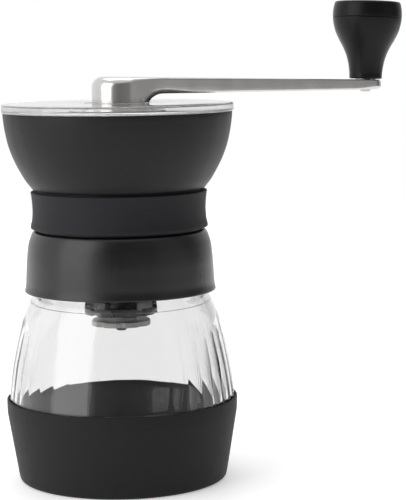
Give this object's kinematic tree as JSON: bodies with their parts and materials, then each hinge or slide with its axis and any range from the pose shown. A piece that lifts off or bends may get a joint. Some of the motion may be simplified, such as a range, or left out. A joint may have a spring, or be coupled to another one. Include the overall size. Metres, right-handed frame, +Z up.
{
  "type": "hand crank coffee grinder",
  "caption": "Hand crank coffee grinder: fluted glass jar in a silicone base, screw-on burr head with hopper and clear lid, and a long removable crank with a turning knob.",
  "frame": {"origin": "centre of the flat underside of the silicone base, on the mill's axis", "axes": "+Z up along the mill's axis, +X along the crank from the hub to the knob at rest"},
  "size_m": [0.1964, 0.093, 0.1922],
  "materials": {
    "clear_glass": "clear pressed glass",
    "black_silicone": "matte silicone",
    "black_plastic": "fine matte moulding",
    "satin_black_plastic": "satin moulding",
    "grey_plastic": "satin moulding",
    "clear_plastic": "clear polished moulding",
    "ceramic": "fine matte ceramic",
    "steel": "plain stainless steel",
    "polished_steel": "polished stainless steel",
    "knob_plastic": "satin black moulding"
  },
  "bodies": {
    "jar": {"glass_jar": "clear_glass", "base_sleeve": "black_silicone"},
    "seal": {"jar_gasket": "black_silicone"},
    "head": {"hopper": "black_plastic", "screw_collar": "satin_black_plastic", "collar_screws": "steel", "grip_band": "black_silicone", "outer_burr": "ceramic", "burr_retainer": "black_plastic", "upper_bush": "grey_plastic", "lower_bush": "grey_plastic"},
    "shaft": {"main_shaft": "steel", "thrust_washer": "steel", "shaft_clip": "steel", "spring_washer": "steel", "burr_spring": "steel"},
    "burr": {"inner_burr": "ceramic", "burr_carrier": "black_plastic", "click_ring": "black_plastic"},
    "dial": {"adjusting_dial": "grey_plastic", "dial_nut": "steel"},
    "crank": {"crank_arm": "polished_steel", "knob_pin": "steel", "knob_clip": "steel"},
    "knob": {"knob_body": "knob_plastic", "knob_cap": "knob_plastic"},
    "lid": {"lid": "clear_plastic"}
  },
  "joints": [
    {"name": "head_lift", "type": "slide", "parent": "jar", "child": "seal", "axis": [0, 0, 1], "range_m": [0, 0.0081]},
    {"name": "head_unscrew", "type": "hinge", "parent": "seal", "child": "head", "pos_m": [0, 0, 0], "axis": [0, 0, 1], "range_deg": [0, 720]},
    {"name": "crank_turn", "type": "hinge", "parent": "head", "child": "shaft", "pos_m": [0, 0, 0], "axis": [0, 0, 1], "continuous": true},
    {"name": "burr_gap", "type": "slide", "parent": "shaft", "child": "burr", "axis": [0, 0, 1], "range_m": [-0.002, 0.0004], "deforming": ["burr_spring"]},
    {"name": "dial_turn", "type": "hinge", "parent": "burr", "child": "dial", "pos_m": [0, 0, 0], "axis": [0, 0, 1], "range_deg": [-920, 200]},
    {"name": "crank_lift", "type": "slide", "parent": "shaft", "child": "crank", "axis": [0, 0, 1], "range_m": [0, 0.06]},
    {"name": "knob_spin", "type": "hinge", "parent": "crank", "child": "knob", "pos_m": [0.1335, 0, 0.15743], "axis": [0.0419, 0, 0.9991], "continuous": true},
    {"name": "lid_lift", "type": "slide", "parent": "head", "child": "lid", "axis": [0, 0, 1], "range_m": [0, 0.0361]}
  ],
  "couplings": [
    {"joint": "head_lift", "follows": "head_unscrew", "m_per_rad": 0.00063662},
    {"joint": "dial_turn", "follows": "burr_gap", "rad_per_m": 7854},
    {"joint": "lid_lift", "follows": "crank_lift", "ratio": 0.6}
  ]
}
